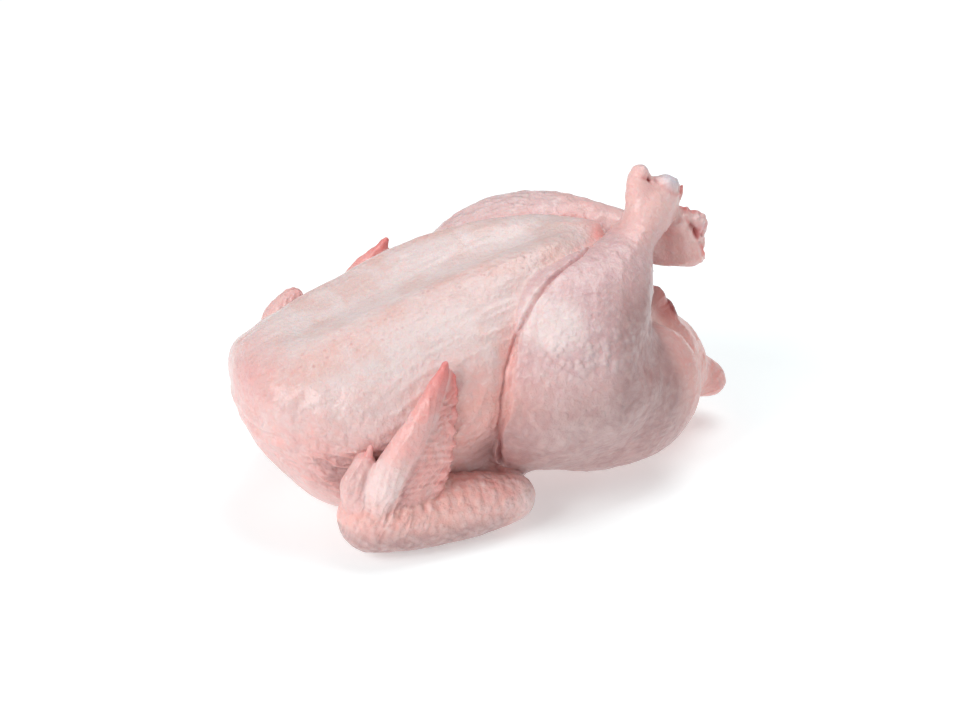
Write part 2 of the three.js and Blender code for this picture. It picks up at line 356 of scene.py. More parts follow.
torsoSizes = {
    # x, crest, underside, half width, widest level, swell of the breast, valley, squareness below
    "stations": [
        (-139, 80, 66, 8, 74, 0, 0, 2.2), (-134, 90, 50, 27, 72, 0, 0, 2.2),
        (-120, 98, 27, 46, 68, 1, 1, 2.4), (-100, 104, 6, 60, 66, 3, 3, 2.5),
        (-73, 112, -2, 70, 68, 4, 5, 2.4), (-40, 122, -4, 76, 70, 5, 6, 2.0),
        (-15, 129, -4, 74, 71, 5, 7, 1.75), (10, 133, -4, 67, 70, 5, 7, 1.7),
        (35, 135, -4, 58, 68, 4, 6, 1.8), (58, 133, -4, 50, 62, 2, 3, 2.0),
        (74, 124, -4, 46, 52, 1, 0, 2.1), (86, 96, -3, 45, 46, 0, 0, 2.1),
        (104, 78, 1, 42, 42, 0, 0, 2.1), (120, 68, 12, 32, 41, 0, 0, 2.1),
        (131, 56, 23, 20, 38, 0, 0, 2.1), (134, 46, 30, 10, 37, 0, 0, 2.1)],
    "squareAbove": 2.15,
    "swellAt": 0.40,
    "swellWidth": 0.20,
    "drawnIn": 0.22,
}


def breastRelief(ys, swell, valley):
    # Two swells beside a valley, over the half width: swell * bell(|y| - place) - valley * bell(y).
    s = torsoSizes
    return swell * bell(np.abs(ys) - s["swellAt"], s["swellWidth"]) - valley * bell(ys, s["swellWidth"])


def torsoRow(share):
    at, _ = curveThrough([(row[0], 0, 0) + row[1:] for row in torsoSizes["stations"]])
    return at(share)[:, [0, 3, 4, 5, 6, 7, 8, 9]].T


def loftTorso(rings=190, sides=160):
    # Superellipse rings, squarer below, with two swells beside a valley on top and flanks drawn in below.
    s = torsoSizes
    even = np.linspace(0, 1, rings)
    x, top, bottom, half, level, swell, valley, below = (v[:, None] for v in torsoRow(
        0.4 * even + 0.6 * (1 - np.cos(math.pi * even)) / 2))
    turn = np.linspace(0, 2 * math.pi, sides, endpoint=False)[None]
    power = 2 / np.where(np.cos(turn) > 0, s["squareAbove"], below)
    ys = np.sign(np.sin(turn)) * np.abs(np.sin(turn)) ** power
    zs = np.sign(np.cos(turn)) * np.abs(np.cos(turn)) ** power
    open_ = np.ones((rings, 1))
    open_[[0, -1]] = 1e-3
    reach = np.where(zs > 0, top - level, level - bottom)
    relief = breastRelief(ys, swell, valley)
    y = half * ys * (1 - s["drawnIn"] * np.maximum(-zs, 0)) * open_
    z = level + (reach * zs + np.maximum(zs, 0) * relief) * open_
    return np.stack([x + 0 * ys, y, z], -1)


def torsoDistance(points):
    # Rough signed distance to the torso's surface, from the superellipse of the ring at the point's x.
    s = torsoSizes
    x, *profiles = torsoRow(np.linspace(0, 1, 400))
    top, bottom, half, level, swell, valley, below = (np.interp(points[:, 0], x, v) for v in profiles)
    z = points[:, 2] - level
    zs = np.where(z > 0, z / (top - level), z / (level - bottom))
    ys = np.abs(points[:, 1]) / (half * (1 - s["drawnIn"] * np.clip(-zs, 0, 1)))
    relief = breastRelief(ys, swell, valley)
    zs = np.where(z > 0, (z - np.clip(zs, 0, 1) * relief) / (top - level), zs)
    power = np.where(z > 0, s["squareAbove"], below)
    radius = (ys**power + np.abs(zs) ** power) ** (1 / power)
    beyond = np.maximum(np.maximum(x[0] - points[:, 0], points[:, 0] - x[-1]), 0)
    size = np.hypot(points[:, 1], z)
    return size * (1 - 1 / np.maximum(radius, 0.05)) + beyond


ankle = 11.5
hock = 8.0
limbs = {
    "neckSkin": {"path": [(-112, -36, 52, 6, 8), (-124, -16, 54, 6, 10), (-126, 4, 54, 6, 10),
                          (-119, 26, 53, 6, 9)], "up": upward},
    "keelTip": {"path": [(30, 0, 126, 14, 8), (54, 0, 128, 12, 8), (73, 0, 126, 8, 8)], "up": upward},
    "hips": {"path": [(-8, 4, 15, 26, 16), (26, 3, 15, 38, 17), (80, 0, 15, 44, 17),
                      (110, 0, 18, 34, 16)], "up": upward},
    "rump": {"path": [(85, -16, 46, 24, 30), (108, -16, 44, 24, 30), (120, -14, 40, 16, 24)], "up": upward},
    "tail": {"path": [(122, 0, 35, 18, 17), (139, -2, 26.5, 16, 12), (153, -4, 20.5, 10, 8.5)], "up": upward},
    "rightCalf": {"path": [
        (36, -24, 22, 13, 28), (32, -34, 32, 17, 40), (27, -47, 48, 32, 53), (24, -54, 66, 37, 54),
        (29, -51, 86, 33, 46), (46, -43, 102, 28, 36), (64.6, -31.6, 116.6, 20, 19.5),
        (81.6, -22, 131.4, ankle, ankle - 0.5),
        (90.2, -17.3, 140.6, ankle - 0.5, ankle + 3), (93.4, -14, 149, ankle - 1, ankle + 5.5),
        (95, -13, 155, ankle - 2, ankle + 3)],
        "up": lengthwise, "capStart": 8, "capEnd": 7},
    "rightThigh": {"path": [(-2, -50, 50, 22, 24), (38, -50, 47, 30, 33), (76, -43, 50, 30, 35),
                            (94, -36, 55, 23, 29), (103, -31, 56, 14, 21)], "up": upward},
    "leftDrumstick": {"path": [
        (-2, 60, 66, 26, 26), (14, 63, 88, 27, 27), (38, 58, 106, 25, 25), (62, 50, 111, 23, 23),
        (88, 28, 112, 17, 17), (105, 9, 112, ankle + 0.5, ankle + 1.5),
        (118, -4, 113, ankle + 1, ankle + 2.5),
        (128, -13, 114, ankle + 1.5, ankle + 4)],
        "up": upward, "capEnd": 5},
    "leftThigh": {"path": [(0, 50, 50, 24, 26), (40, 48, 46, 34, 38), (80, 42, 46, 32, 36),
                           (100, 34, 46, 24, 28)], "up": upward},
    "rightArm": {"path": [(-88, -42, 34, 18, 18), (-50, -48, 26, 17, 17), (-6, -62, 18, 11, 11)],
                 "up": upward},
    "leftArm": {"path": [(-80, 46, 40, 18, 18), (-42, 52, 32, 17, 17), (0, 64, 24, 11, 11)], "up": upward},
    "vent": {"path": [(88, 3, 74, 14, 10), (106, 3, 78, 19, 12), (130, 3, 88, 22, 14)], "up": upward},
}
knuckles = {
    "rightHock": [((84.5, -14, 157), (hock - 1, hock, hock + 1), 0.2),
                  ((102, -14, 150.5), (hock, hock + 0.5, hock - 0.5), 0.5),
                  ((109, -13, 144), (4.5, 3, 2.5), -0.9)],
    "leftHock": [((118, -11, 126), (hock + 2, hock + 2, hock + 2), 0.3),
                 ((122, -11, 110), (hock - 1, hock + 5, hock + 1), 0.0)],
    "ventLip": [((104, -12, 74), (10, 8, 11), 0.3), ((97, -12, 86), (8, 7, 10), 0.35)],
}
wings = {
    "right": {
        "forearm": {"path": [(-109, -62, 22, 13, 15), (-92, -63, 21, 18, 18), (-50, -68, 19, 17, 18),
                             (-20, -70, 18, 13, 14), (-4, -71, 18, 9, 10)], "up": upward},
        "bone": {"path": [(-92, -67, 20, 9, 9), (-86, -75, 51, 8, 8), (-73, -77, 72, 6.5, 6.5),
                          (-52, -71, 104, 2.5, 2.5)], "up": across},
        "web": {"path": [(-82, -71, 22, 12, 6), (-75, -77, 47, 19, 5), (-67, -77, 67, 16, 4),
                         (-57, -73, 88, 9, 2.5), (-53, -70, 100, 4, 2)], "up": across},
        "thumb": {"path": [(-97, -64, 26, 9, 9), (-100, -65, 42, 7.5, 7.5), (-92, -65, 58, 4.5, 4.5)],
                  "up": across},
    },
    "left": {
        "forearm": {"path": [(-96, 64, 42, 13, 15), (-78, 68, 36, 18, 18), (-38, 72, 26, 17, 17),
                             (-10, 72, 21, 13, 14), (4, 72, 20, 9, 10)], "up": upward},
        "bone": {"path": [(-80, 70, 42, 9, 9), (-66, 78, 64, 8, 8), (-48, 78, 86, 6, 6),
                          (-24, 71, 114, 2.5, 2.5)], "up": across},
        "web": {"path": [(-66, 72, 36, 12, 6), (-54, 78, 58, 17, 5), (-42, 77, 76, 14, 4),
                         (-29, 72, 101, 7, 2), (-26, 70, 109, 3, 2)], "up": across},
        "thumb": {"path": [(-92, 68, 52, 9, 9), (-92, 73, 74, 8, 8), (-77, 74, 90, 5.5, 5.5)], "up": across},
    },
}

# The row frame's origin is under the middle of the solid's box, so the bird's own frame is moved to match.
cadLow, cadHigh = (np.array(corner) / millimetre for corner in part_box(solidNode))
everyLimb = [loftLimb(limb) for name, limb in limbs.items() if name != "vent"]
everyLimb += [loftLimb(limb) for wing in wings.values() for limb in wing.values()]
allPoints = np.concatenate([grid.reshape(-1, 3) for grid in everyLimb])
frameShift = (cadLow + cadHigh) / 2 - (allPoints.min(0) + allPoints.max(0)) / 2
frameShift[0] = cadLow[0] - torsoSizes["stations"][0][0]
frameShift[2] = 0
print("bird frame moved by", frameShift.round(2), "mm")

# Camera, light and board

photo = {"width": 960, "focalPixels": 1800, "birdAtX": 483, "birdAtY": 463, "centreX": 480, "centreY": 360,
         "distance": 1.0, "azimuth": -25, "elevation": 25, "sensor": 36}


def axesMatrix(right, up, back, place):
    # The matrix that puts an object's own axes along these directions.
    turn = np.eye(4)
    turn[:3, 0], turn[:3, 1], turn[:3, 2], turn[:3, 3] = right, up, back, place
    return Matrix(turn.tolist())


def placeCamera():
    a, e = math.radians(photo["azimuth"]), math.radians(photo["elevation"])
    back = np.array([math.sin(a) * math.cos(e), -math.cos(a) * math.cos(e), math.sin(e)])
    right = np.array([math.cos(a), math.sin(a), 0])
    up = np.cross(back, right)
    perPixel = photo["distance"] / photo["focalPixels"]
    eye = (frameShift * millimetre + back * photo["distance"]
           - right * (photo["birdAtX"] - photo["centreX"]) * perPixel
           + up * (photo["birdAtY"] - photo["centreY"]) * perPixel)
    data = bpy.data.cameras.new("photoView")
    data.sensor_width = photo["sensor"]
    data.lens = photo["focalPixels"] / photo["width"] * photo["sensor"]
    data.clip_start = 0.01
    obj = bpy.data.objects.new("photoView", data)
    obj.matrix_world = axesMatrix(right, up, back, eye)
    bpy.context.scene.collection.objects.link(obj)
    bpy.context.scene.camera = obj


studio = {
    "worldColour": (0.985, 0.995, 1.0), "worldStrength": 0.31,
    "lights": [  # name, place, aim, width, watts, colour
        ("leftSoftbox", (-2.9, -0.9, 2.0), (0.0, 0.0, 0.06), 1.9, 77, (1.0, 0.995, 0.99)),
        ("overheadSoftbox", (0.9, 0.3, 2.7), (0.0, 0.0, 0.06), 1.8, 38, (0.99, 1.0, 1.0))],
    "floorHalf": 4.0, "floorDrop": 0.0003, "floorColour": (0.79, 0.85, 0.86), "floorGlow": 0.36,
    "floorRoughness": 0.8, "floorShine": 0.1,
}


def makeStudio():
    world = bpy.data.worlds.new("studio")
    world.use_nodes = True
    background = world.node_tree.nodes["Background"]
    background.inputs["Color"].default_value = (*studio["worldColour"], 1)
    background.inputs["Strength"].default_value = studio["worldStrength"]
    bpy.context.scene.world = world
    bpy.context.scene.view_settings.view_transform = "Standard"
    for name, place, aim, width, watts, colour in studio["lights"]:
        data = bpy.data.lights.new(name, "AREA")
        data.size = width
        data.energy = watts
        data.color = colour
        obj = bpy.data.objects.new(name, data)
        back = unit(np.array(place) - np.array(aim))
        right = unit(np.cross((0, 0, 1), back))
        obj.matrix_world = axesMatrix(right, np.cross(back, right), back, place)
        bpy.context.scene.collection.objects.link(obj)
    half, drop = studio["floorHalf"], studio["floorDrop"]
    corners = [(-half, -half, -drop), (half, -half, -drop), (half, half, -drop), (-half, half, -drop)]
    floor = rawObject("floor", np.array(corners), np.array([(0, 1, 2, 3)]))
    paper = bpy.data.materials.new("whitePaper")
    paper.use_nodes = True
    shader = paper.node_tree.nodes["Principled BSDF"]
    shader.inputs["Base Color"].default_value = (*studio["floorColour"], 1)
    shader.inputs["Roughness"].default_value = studio["floorRoughness"]
    shader.inputs["Specular IOR Level"].default_value = studio["floorShine"]
    shader.inputs["Emission Color"].default_value = (1, 1, 1, 1)
    shader.inputs["Emission Strength"].default_value = studio["floorGlow"]
    floor.data.materials.append(paper)


placeCamera()
makeStudio()
print("camera, lights and floor placed")


# Shading

class Socket:
    # One output of a node, with the operators that the materials use.
    def __init__(self, maker, link):
        self.maker = maker
        self.link = link

    def math(self, operation, other, swapped=False):
        values = [other, self] if swapped else [self, other]
        return self.maker.node("ShaderNodeMath", {"operation": operation}, dict(enumerate(values)))

    def __add__(self, other):
        return self.math("ADD", other)

    def __sub__(self, other):
        return self.math("SUBTRACT", other)

    def __rsub__(self, other):
        return self.math("SUBTRACT", other, swapped=True)

    def __mul__(self, other):
        return self.math("MULTIPLY", other)

    __radd__ = __add__
    __rmul__ = __mul__


class Maker:
    # Builds one material's nodes.
    def __init__(self, name):
        self.material = bpy.data.materials.new(name)
        self.material.use_nodes = True
        self.tree = self.material.node_tree
        self.shader = self.tree.nodes["Principled BSDF"]

    def node(self, kind, settings=None, inputs=None, output=0):
        made = self.tree.nodes.new(kind)
        for name, value in (settings or {}).items():
            setattr(made, name, value)
        for name, value in (inputs or {}).items():
            self.feed(made.inputs[name], value)
        return Socket(self, made.outputs[output])

    def feed(self, socket, value):
        if isinstance(value, Socket):
            self.tree.links.new(value.link, socket)
        elif isinstance(value, tuple) and len(value) == 3 and len(socket.default_value) == 4:
            socket.default_value = (*value, 1)
        else:
            socket.default_value = value

    def mark(self, name):
        return self.node("ShaderNodeAttribute", {"attribute_name": name}, output="Fac")

    def mix(self, factor, first, second):
        settings = {"data_type": "RGBA", "clamp_factor": True}
        return self.node("ShaderNodeMix", settings, {0: factor, 6: first, 7: second}, output=2)

    def noise(self, place, perMetre, detail, distortion=0.0, kind="FBM"):
        return self.node("ShaderNodeTexNoise", {"noise_type": kind, "normalize": True},
                         {"Vector": place, "Scale": perMetre, "Detail": detail, "Distortion": distortion})

    def cells(self, place, perMetre, feature, **inputs):
        inputs = {"Vector": place, "Scale": perMetre, **inputs}
        return self.node("ShaderNodeTexVoronoi", {"feature": feature}, inputs)

    def drawnOut(self, place, turn, scale):
        return self.node("ShaderNodeMapping", {}, {"Vector": place, "Rotation": turn, "Scale": scale})

    def band(self, value, low, high):
        # 0 below low, 1 above high, smooth between
        return self.node("ShaderNodeMapRange", {"interpolation_type": "SMOOTHSTEP"},
                         {"Value": value, "From Min": low, "From Max": high})

    def mottled(self, name, pattern, low, high, least, more):
        # A mark that is weaker where the pattern is low: mark * (least + more * band(pattern)).
        return self.mark(name) * (least + self.band(pattern, low, high) * more)

    def set(self, **values):
        for name, value in values.items():
            self.feed(self.shader.inputs[name.replace("_", " ")], value)


def tone(red, green, blue):
    # From the usual 0 to 255 to the shader's linear scale.
    c = np.array([red, green, blue]) / 255
    return tuple(np.where(c <= 0.04045, c / 12.92, ((c + 0.055) / 1.055) ** 2.4).tolist())


skinTones = {
    "fair": tone(229, 213, 211), "beige": tone(224, 197, 192), "rosy": tone(250, 178, 171),
    # the pale fat tone is also used for painted highlights
    "mauve": tone(213, 177, 180), "peach": tone(248, 190, 177), "fat": tone(247, 230, 228),
    # the raw tone also paints the shadow line along the leg's crease
    "raw": tone(168, 62, 58), "tip": tone(226, 120, 116), "darkPink": tone(200, 140, 138),
    # the shade tone is painted shade, laid where less light falls
    "gristle": tone(214, 206, 214), "paintedShade": tone(174, 138, 136),
}
skinLook = {
    # how far the pale mark shows; it holds fat patches and painted highlights
    "fatAndHighlightReach": 0.85, "rosySpots": 0.25, "paleSpecks": 0.3, "rosySpecks": 0.2, "paleBumps": 0.35,
    "follicles": 0.35, "creaseValleyTint": 0.35,
    # weights in the relief
    "creases": 0.9, "crossings": 0.7, "middle": 0.45, "fine": 0.40, "micro": 0.16, "pits": 0.12, "bumps": 0.6,
    "bumpStrength": 0.85, "bumpDistance": 0.0018,
    "smoothest": 0.22, "duller": 0.24, "wetGristle": 0.10,
}


def skinMaterial():
    make = Maker("rawSkin")
    t = skinTones
    look = skinLook
    place = make.node("ShaderNodeTexCoord", output="Object")
    broad = make.noise(place, perMetre=42.0, detail=3.0, distortion=0.4)
    middle = make.noise(place, perMetre=130.0, detail=5.0, distortion=0.8)
    fine = make.noise(place, perMetre=480.0, detail=4.0, distortion=0.3)
    micro = make.noise(place, perMetre=1150.0, detail=3.0)
    lengthways = make.drawnOut(place, turn=(0.0, 0.35, 0.2), scale=(0.28, 1.0, 1.0))
    downwards = make.drawnOut(place, turn=(0.25, 0.3, 0.0), scale=(1.0, 1.0, 0.3))
    creases = make.noise(lengthways, perMetre=260.0, detail=3.0, kind="RIDGED_MULTIFRACTAL")
    crossings = make.noise(downwards, perMetre=240.0, detail=3.0, kind="RIDGED_MULTIFRACTAL")
    pores = make.cells(place, perMetre=190.0, feature="F1", Randomness=0.9)
    goose = make.cells(place, perMetre=250.0, feature="SMOOTH_F1", Smoothness=0.5)
    follicles = (1 - make.band(pores, low=0.05, high=0.24)) * make.mark("follicle")
    bumps = (1 - make.band(goose, low=0.1, high=0.75)) * make.mark("bumps")
    wrinkled = make.mark("wrinkle")
    gristle = make.mark("gristle")

    colour = make.mix(make.band(broad, low=0.42, high=0.66), t["fair"], t["beige"])
    rosy = make.mottled("rosy", middle, low=0.3, high=0.7, least=0.55, more=0.6)
    mauve = make.mottled("mauve", middle, low=0.35, high=0.65, least=0.6, more=0.4)
    peach = make.mottled("peach", broad, low=0.35, high=0.65, least=0.6, more=0.5)
    # painted shade, mottled by the noise
    paintedShade = make.mottled("paintedShade", middle, low=0.3, high=0.7, least=0.7, more=0.3)
    # fat patches and painted highlights
    patch = make.band(make.mark("fat") + (middle - 0.5) * 0.6, low=0.15, high=0.95)      # ragged by the noise
    for factor, name in ((rosy, "rosy"), (mauve, "mauve"), (peach, "peach")):
        colour = make.mix(factor, colour, t[name])
    colour = make.mix(patch * look["fatAndHighlightReach"], colour, t["fat"])
    colour = make.mix(make.band(middle, low=0.58, high=0.76) * look["rosySpots"], colour, t["rosy"])
    colour = make.mix(make.band(fine, low=0.52, high=0.7) * look["paleSpecks"], colour, t["fat"])
    colour = make.mix(make.band(fine, low=0.48, high=0.3) * look["rosySpecks"], colour, t["rosy"])
    colour = make.mix(paintedShade, colour, t["paintedShade"])
    colour = make.mix(bumps * look["paleBumps"], colour, t["fat"])
    # a darker pink where the wrinkle relief is low, and in the follicle dots
    inCreases = wrinkled * make.band(creases, low=0.55, high=0.2)
    dotsAndValleys = follicles * look["follicles"] + inCreases * look["creaseValleyTint"]
    colour = make.mix(dotsAndValleys, colour, t["darkPink"])
    colour = make.mix(make.mark("tip"), colour, t["tip"])
    # raw flesh, and the painted shadow line along the leg's crease
    colour = make.mix(make.mark("raw"), colour, t["raw"])
    colour = make.mix(gristle, colour, t["gristle"])

    relief = (middle * look["middle"] + fine * look["fine"] + micro * look["micro"]
              - follicles * look["pits"] + bumps * look["bumps"]
              + wrinkled * (creases * look["creases"] + crossings * look["crossings"]))
    bump = make.node("ShaderNodeBump", {}, {"Strength": look["bumpStrength"],
                                            "Distance": look["bumpDistance"], "Height": relief})
    roughness = look["smoothest"] + fine * look["duller"] - gristle * look["wetGristle"]
    make.set(Base_Color=colour, Roughness=roughness, Normal=bump)
    make.set(IOR=1.4, Subsurface_Weight=0.25, Subsurface_Radius=(0.9, 0.35, 0.22), Subsurface_Scale=0.004,
             Coat_Weight=0.4, Coat_Roughness=0.2, Specular_IOR_Level=0.5)
    return make.material


skin = skinMaterial()
print("skin material built")


def tonesFrom(shares, areas):
    # Each mark is the sum of its areas, each times its share.
    return {mark: sum(share * areas[name] for name, share in listed.items())
            for mark, listed in shares.items()}


def foldRelief(points, folds, areas):
    # Heights of all folds that have an area: height * area * (ridges - 1/2).
    return sum(height * areas[name] * (ridges(points, run, spacing, seed) - 0.5)
               for name, (height, run, spacing, seed) in folds.items())


# Body skin

bodyLook = {
    "voxel": 2.6, "evenRounds": 3, "blendRounds": 12, "fineSide": (-0.38, -0.82, 0.42),
    # from here on heights in millimetres
    "lumps": 0.7, "smallLumps": 0.3, "grain": 0.14, "leftShoulder": 1.7, "beads": 0.45, "leftBeads": 0.9,
    "creaseDepth": 1.5, "creaseWidth": 0.85, "legLip": 2.1, "breastDip": 2.0, "thighValley": 3.2,
    "thighSwell": 1.5, "ruffle": 0.5, "ruffleWaves": 1.1, "neckFold": 1.6, "neckRoll": 1.0,
    "tendonRings": 0.28, "hockLumps": 0.4, "smallHockLumps": 0.2, "collarLumps": 0.7, "rimHeight": 0.4,
    "cutDepth": 0.2, "cutLumps": 1.5, "smallCutLumps": 1.0,
}
bodyFolds = {  # height, direction of the run, spacing in millimetres, seed
    "shoulder": (1.0, (1, -0.3, -0.12), 3.6, 4), "wingRoot": (0.8, (0.9, -0.2, 0.25), 2.6, 21),
    "flanks": (1.5, (0.35, 0, 1), 4.6, 6), "ripples": (0.8, (0.5, 0, 1), 3.2, 22),
    "breast": (0.5, (1, 0.1, 0.25), 4.4, 7), "legs": (0.5, (0.5, 0.2, 1), 6.5, 8),
}
leftShoulderRun = ((1, -0.5, -0.15), 5.0, 5)
groups = {
    "trunk": ("neckSkin", "keelTip", "hips", "rightArm", "leftArm"),
    "rightLeg": ("rightCalf", "rightThigh"),
    "leftLeg": ("leftDrumstick", "leftThigh"),
    "stern": ("rump", "tail"),
}
rightCrease = [(78, 8, 126), (77, -2, 130), (69, -13, 131), (59.2, -19.2, 129.6), (37.1, -38.4, 131.7),
               (21.2, -46.8, 128.1), (2.4, -56.3, 119.7), (-10.4, -63.3, 108.4), (-19.7, -71.3, 91.6),
               (-23.5, -75.9, 77.9), (-25.5, -74.5, 55.2), (-23.6, -68.3, 40.4), (-18, -62, 28)]
bodyLines = {  # broken lines on the skin
    "thighValley": [(70, -55, 98), (67.8, -65, 94), (61, -74, 88), (55.8, -80, 80), (50, -85, 71),
                    (45, -88, 62)],
    "legMembrane": [(80.5, -37, 118), (79.5, -44, 110), (75.5, -55, 101), (69, -64, 94), (62, -73, 89)],
    "neckFold": [(-128, -38, 60), (-134, -22, 58), (-137, -3, 60), (-133, 16, 60)],
    "slash": [(80.5, -21, 163), (84, -21, 161), (88, -21, 160)],
    "slit": [(115.8, -18, 129), (118, -19, 126), (120, -20, 122.5)],
}
# where the far hock's skin ends, and the skin's edge round the near hock's cap
cutRim = {"at": (116.5, -18, 123), "faces": (0.88, -0.18, 0.44), "ragged": 1.6}
collar = {"round": (103, -15, 155), "stretch": (1.15, 1, 1), "radius": 9, "width": 1.1}
tendon = {"from": (76, -27, 126), "along": (0.62, 0.35, 0.7), "turns": 1.25}
betweenKnobs = [((93.5, -15, 153), (6, 7, 6), 0.0), ((111, -11, 130), (8, 8, 8), 0.0),
                ((124, -14, 127), (5, 6, 7), 0.0)]
reliefSpots = {  # centre and reach of each patch that is raised, folded or rounded
    "hipRounding": ((64, -70, 84), (16, 14, 20)), "keelRounding": ((40, 0, 131), (30, 12, 8)),
    "fineShoulder": ((-106, -58, 46), (26, 30, 24)), "rightRoot": ((-104, -56, 44), (26, 24, 26)),
    "leftRoot": ((-94, 58, 54), (26, 24, 26)), "rightFlank": ((-42, -74, 72), (24, 16, 26)),
    "leftFlank": ((-35, 74, 76), (24, 16, 26)), "ripples": ((-99, -57, 75), (12, 12, 10)),
    "shoulderFolds": ((-107, -58, 43), (20, 20, 15)), "thighBeads": ((22, -83, 96), (34, 16, 9)),
    "thighSwell": ((88, -60, 62), (15, 15, 17)), "tendon": ((76, -30, 124), 15),
}
hockSpots = {  # centre and reach
    "dip": ((93.5, -17, 158), (2.6, 6, 3.4)), "pit": ((89, -21, 159.5), (2.0, 4, 1.9)),
    "cap": ((103, -16, 156), (6, 8, 4.5)), "crown": ((85, -14, 166), (5, 8, 5)),
    "knob": ((123, -16, 128), (4, 7, 6)),
}
hockHeights = {"dip": -0.9, "pit": -3.0, "slash": -1.1, "cap": 1.4, "crown": 2.0, "slit": -2.8, "knob": 0.3}


def buildBody():
    trunk = [loftTorso()] + [loftLimb(limbs[k]) for k in groups["trunk"] + groups["stern"]]
    vent = loftLimb(limbs["vent"])
    points, faces = fuse(*meshArrays(trunk), bodyLook["voxel"], vent)
    legs = [loftLimb(limbs[k]) for k in groups["rightLeg"] + groups["leftLeg"]]
    legs += [loftBall(*ball) for name in knuckles for ball in knuckles[name]]
    legs += [loftBall(*ball) for ball in betweenKnobs]
    legPoints, legFaces = meshArrays(legs)
    if faces.shape[1] == 3:
        faces = np.concatenate([faces, faces[:, 2:]], 1)
    legFaces = legFaces + len(points)
    faces = np.concatenate([faces, legFaces])
    points, faces = fuse(np.concatenate([points, legPoints]), faces, bodyLook["voxel"])
    print("body fused:", len(points), "points")
    return points, asTriangles(faces)


def nearness(points):
    # Signed distance to every loft and to the nearest of each group.
    away = {name: limbPlace(points, limb)[3] for name, limb in limbs.items()}
    away["torso"] = torsoDistance(points)
    for name, balls in knuckles.items():
        away[name] = np.min([np.linalg.norm(points - centre, axis=1) - np.mean(sizes)
                             for centre, sizes, _ in balls], 0)
    members = {"trunk": groups["trunk"] + ("torso",), "rightLeg": groups["rightLeg"] + ("rightHock",),
               "leftLeg": groups["leftLeg"] + ("leftHock",), "stern": groups["stern"] + ("ventLip",)}
    ofGroup = {name: np.min([away[m] for m in listed], 0) for name, listed in members.items()}
    inner = np.min([np.abs(np.sort([away[m] for m in listed], 0)[1]) for listed in members.values()], 0)
    return away, ofGroup, inner


def creaseLine(points, edges, ofGroup):
    # Where leg and trunk meet: the line seen on the right side, and the two forms' crossing on the left.
    x, y, z = points.T
    touch = 2.2
    meeting = (np.abs(ofGroup["leftLeg"]) < touch) & (np.abs(ofGroup["trunk"]) < touch)
    meeting &= (y > 0) & (z > 10) & (x < 79)
    both = meeting[edges[0]] & meeting[edges[1]]
    between = (points[edges[0][both]] + points[edges[1][both]]) / 2
    return np.concatenate([betweenPoints(rightCrease, 240), points[meeting], between])


def settled(line, points, normals):
    # Each point of a line moved along the skin's normal onto the skin: p + n ((v - p) . n).
    nearest = ((line**2).sum(1)[:, None] + (points**2).sum(1) - 2 * line @ points.T).argmin(1)
    out = normals[nearest]
    return line + out * ((points[nearest] - line) * out).sum(1)[:, None]


def bodyMesh():
    # The fused skin, rounded between the limbs and refined where it shows, with the crease's line on it.
    look = bodyLook
    points, faces = buildBody()
    points[:, 2] = np.maximum(points[:, 2], 0)
    edges = edgesOf(faces)
    points = relax(points, edges, 0.5, look["evenRounds"])
    _, ofGroup, inner = nearness(points)
    line = settled(creaseLine(points, edges, ofGroup), points, normalsOf(points, faces))
    crease = distanceTo(points, line)
    print("crease line:", len(line), "points")
    offCrease = rise(crease, start=4, over=6)
    seam = np.maximum(fall(inner, start=11.2, over=7) * offCrease, blob(points, *reliefSpots["hipRounding"]))
    betweenHockKnobs = rise(points[:, 2], start=144, over=6) * (points[:, 0] > 70)
    seam *= 1 - 0.8 * betweenHockKnobs
    keel = blob(points, *reliefSpots["keelRounding"]) * rise(crease, start=4, over=5)
    points = relax(points, edges, 0.6 * np.maximum(seam, keel), look["blendRounds"])
    points = relax(points, edges, 0.5 * fall(crease, start=8, over=4), 2)

    x, y, z = points.T
    hocks = ((z > 132) & (x > 72)) | ((x > 104) & (z > 92))
    shown = normalsOf(points, faces) @ np.array(look["fineSide"]) > 0.05
    points, faces = refine(points, faces, shown | hocks | (crease < 9))
    points = relax(points, edgesOf(faces), 0.5, 2)
    x, y, z = points.T
    crease = distanceTo(points, line)
    hocks = ((z > 140) & (x > 72)) | ((x > 108) & (z > 94) & (y < 2))
    shoulder = (blob(points, *reliefSpots["fineShoulder"]) > 0.6) & (z > 8)
    points, faces = refine(points, faces, hocks | shoulder | ((crease < 4) & (y < 0)))
    edges = edgesOf(faces)
    points = relax(points, edges, 0.5, 2)
    return points, faces, edges, settled(line, points, normalsOf(points, faces))


def hockForms(points):
    # How far each point belongs to the forms of the two hocks, from 0 to 1.
    x, y, z = points.T
    form = {name: blob(points, *spot) for name, spot in hockSpots.items()}
    form["slash"] = bell(distanceTo(points, betweenPoints(bodyLines["slash"])), width=1.3)
    form["slit"] = bell(distanceTo(points, betweenPoints(bodyLines["slit"])), width=1.7)
    form["ends"] = np.maximum(rise(z, start=138, over=8) * (x > 70), rise(x, start=108, over=6) * (z > 92))
    fromCap = np.linalg.norm((points - collar["round"]) / collar["stretch"], axis=1)
    form["collar"] = bell(fromCap - collar["radius"], collar["width"]) * (z > 146)
    # the far hock's skin stops at a rim, and the cut end behind it is sunk and ragged
    beyond = (points - cutRim["at"]) @ np.array(cutRim["faces"])
    beyond += cutRim["ragged"] * cellNoise(points, size=6, seed=37)
    farEnd = (x > 106) & (z > 94) & (y > -34)
    form["cut"] = rise(beyond, start=0, over=1.6) * farEnd
    form["rim"] = bell(beyond + 0.6, width=1.0) * farEnd
    form["knob"] = form["knob"] * form["cut"] * (1 - form["slit"])
    return form


